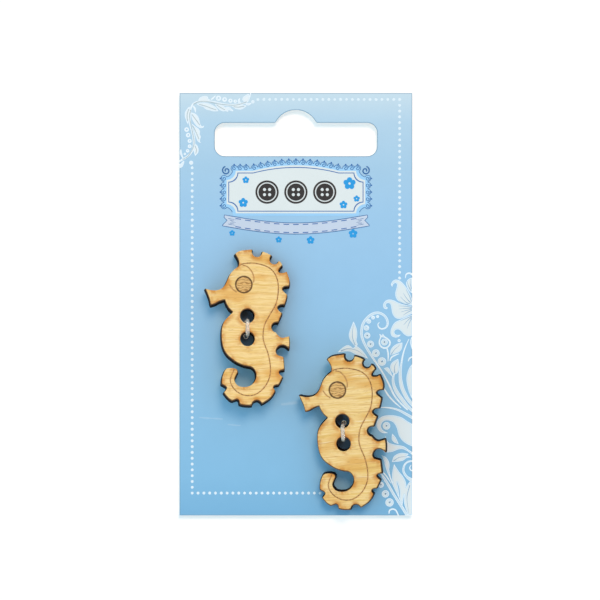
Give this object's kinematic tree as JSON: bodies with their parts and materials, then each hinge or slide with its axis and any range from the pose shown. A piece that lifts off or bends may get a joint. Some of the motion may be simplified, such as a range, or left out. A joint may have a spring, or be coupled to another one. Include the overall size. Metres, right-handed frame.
{
  "type": "card of buttons",
  "caption": "Printed hang card with a hang slot, holding flat wooden seahorse buttons on clear nylon staples.",
  "frame": {"origin": "centre of the card in plan, on the plane that the staple bars behind the card rest on", "axes": "+X across the card to the right, +Y along the card to its hang slot, +Z out of the printed face"},
  "size_m": [0.046, 0.0834, 0.0077],
  "materials": {
    "card_board": "satin",
    "ink_white": "satin",
    "ink_pale": "satin",
    "ink_cyan": "satin",
    "ink_plaque": "satin",
    "ink_navy": "satin",
    "ink_charcoal": "satin",
    "ink_ribbon": "satin",
    "ink_azure": "satin",
    "birch_plywood": "natural",
    "clear_nylon": "gloss"
  },
  "bodies": {
    "root": {"card": "card_board", "print_dot_border": "ink_white", "print_corner_sprig": "ink_pale", "print_floral_scroll": "ink_pale", "print_plaque_edging": "ink_cyan", "print_plaque": "ink_plaque", "print_plaque_line": "ink_navy", "print_button_discs": "ink_charcoal", "print_ribbon": "ink_ribbon", "print_ribbon_stitches": "ink_navy", "print_blossoms": "ink_azure", "button_upper": "birch_plywood", "button_lower": "birch_plywood", "staple_upper": "clear_nylon", "staple_lower": "clear_nylon"}
  },
  "joints": []
}
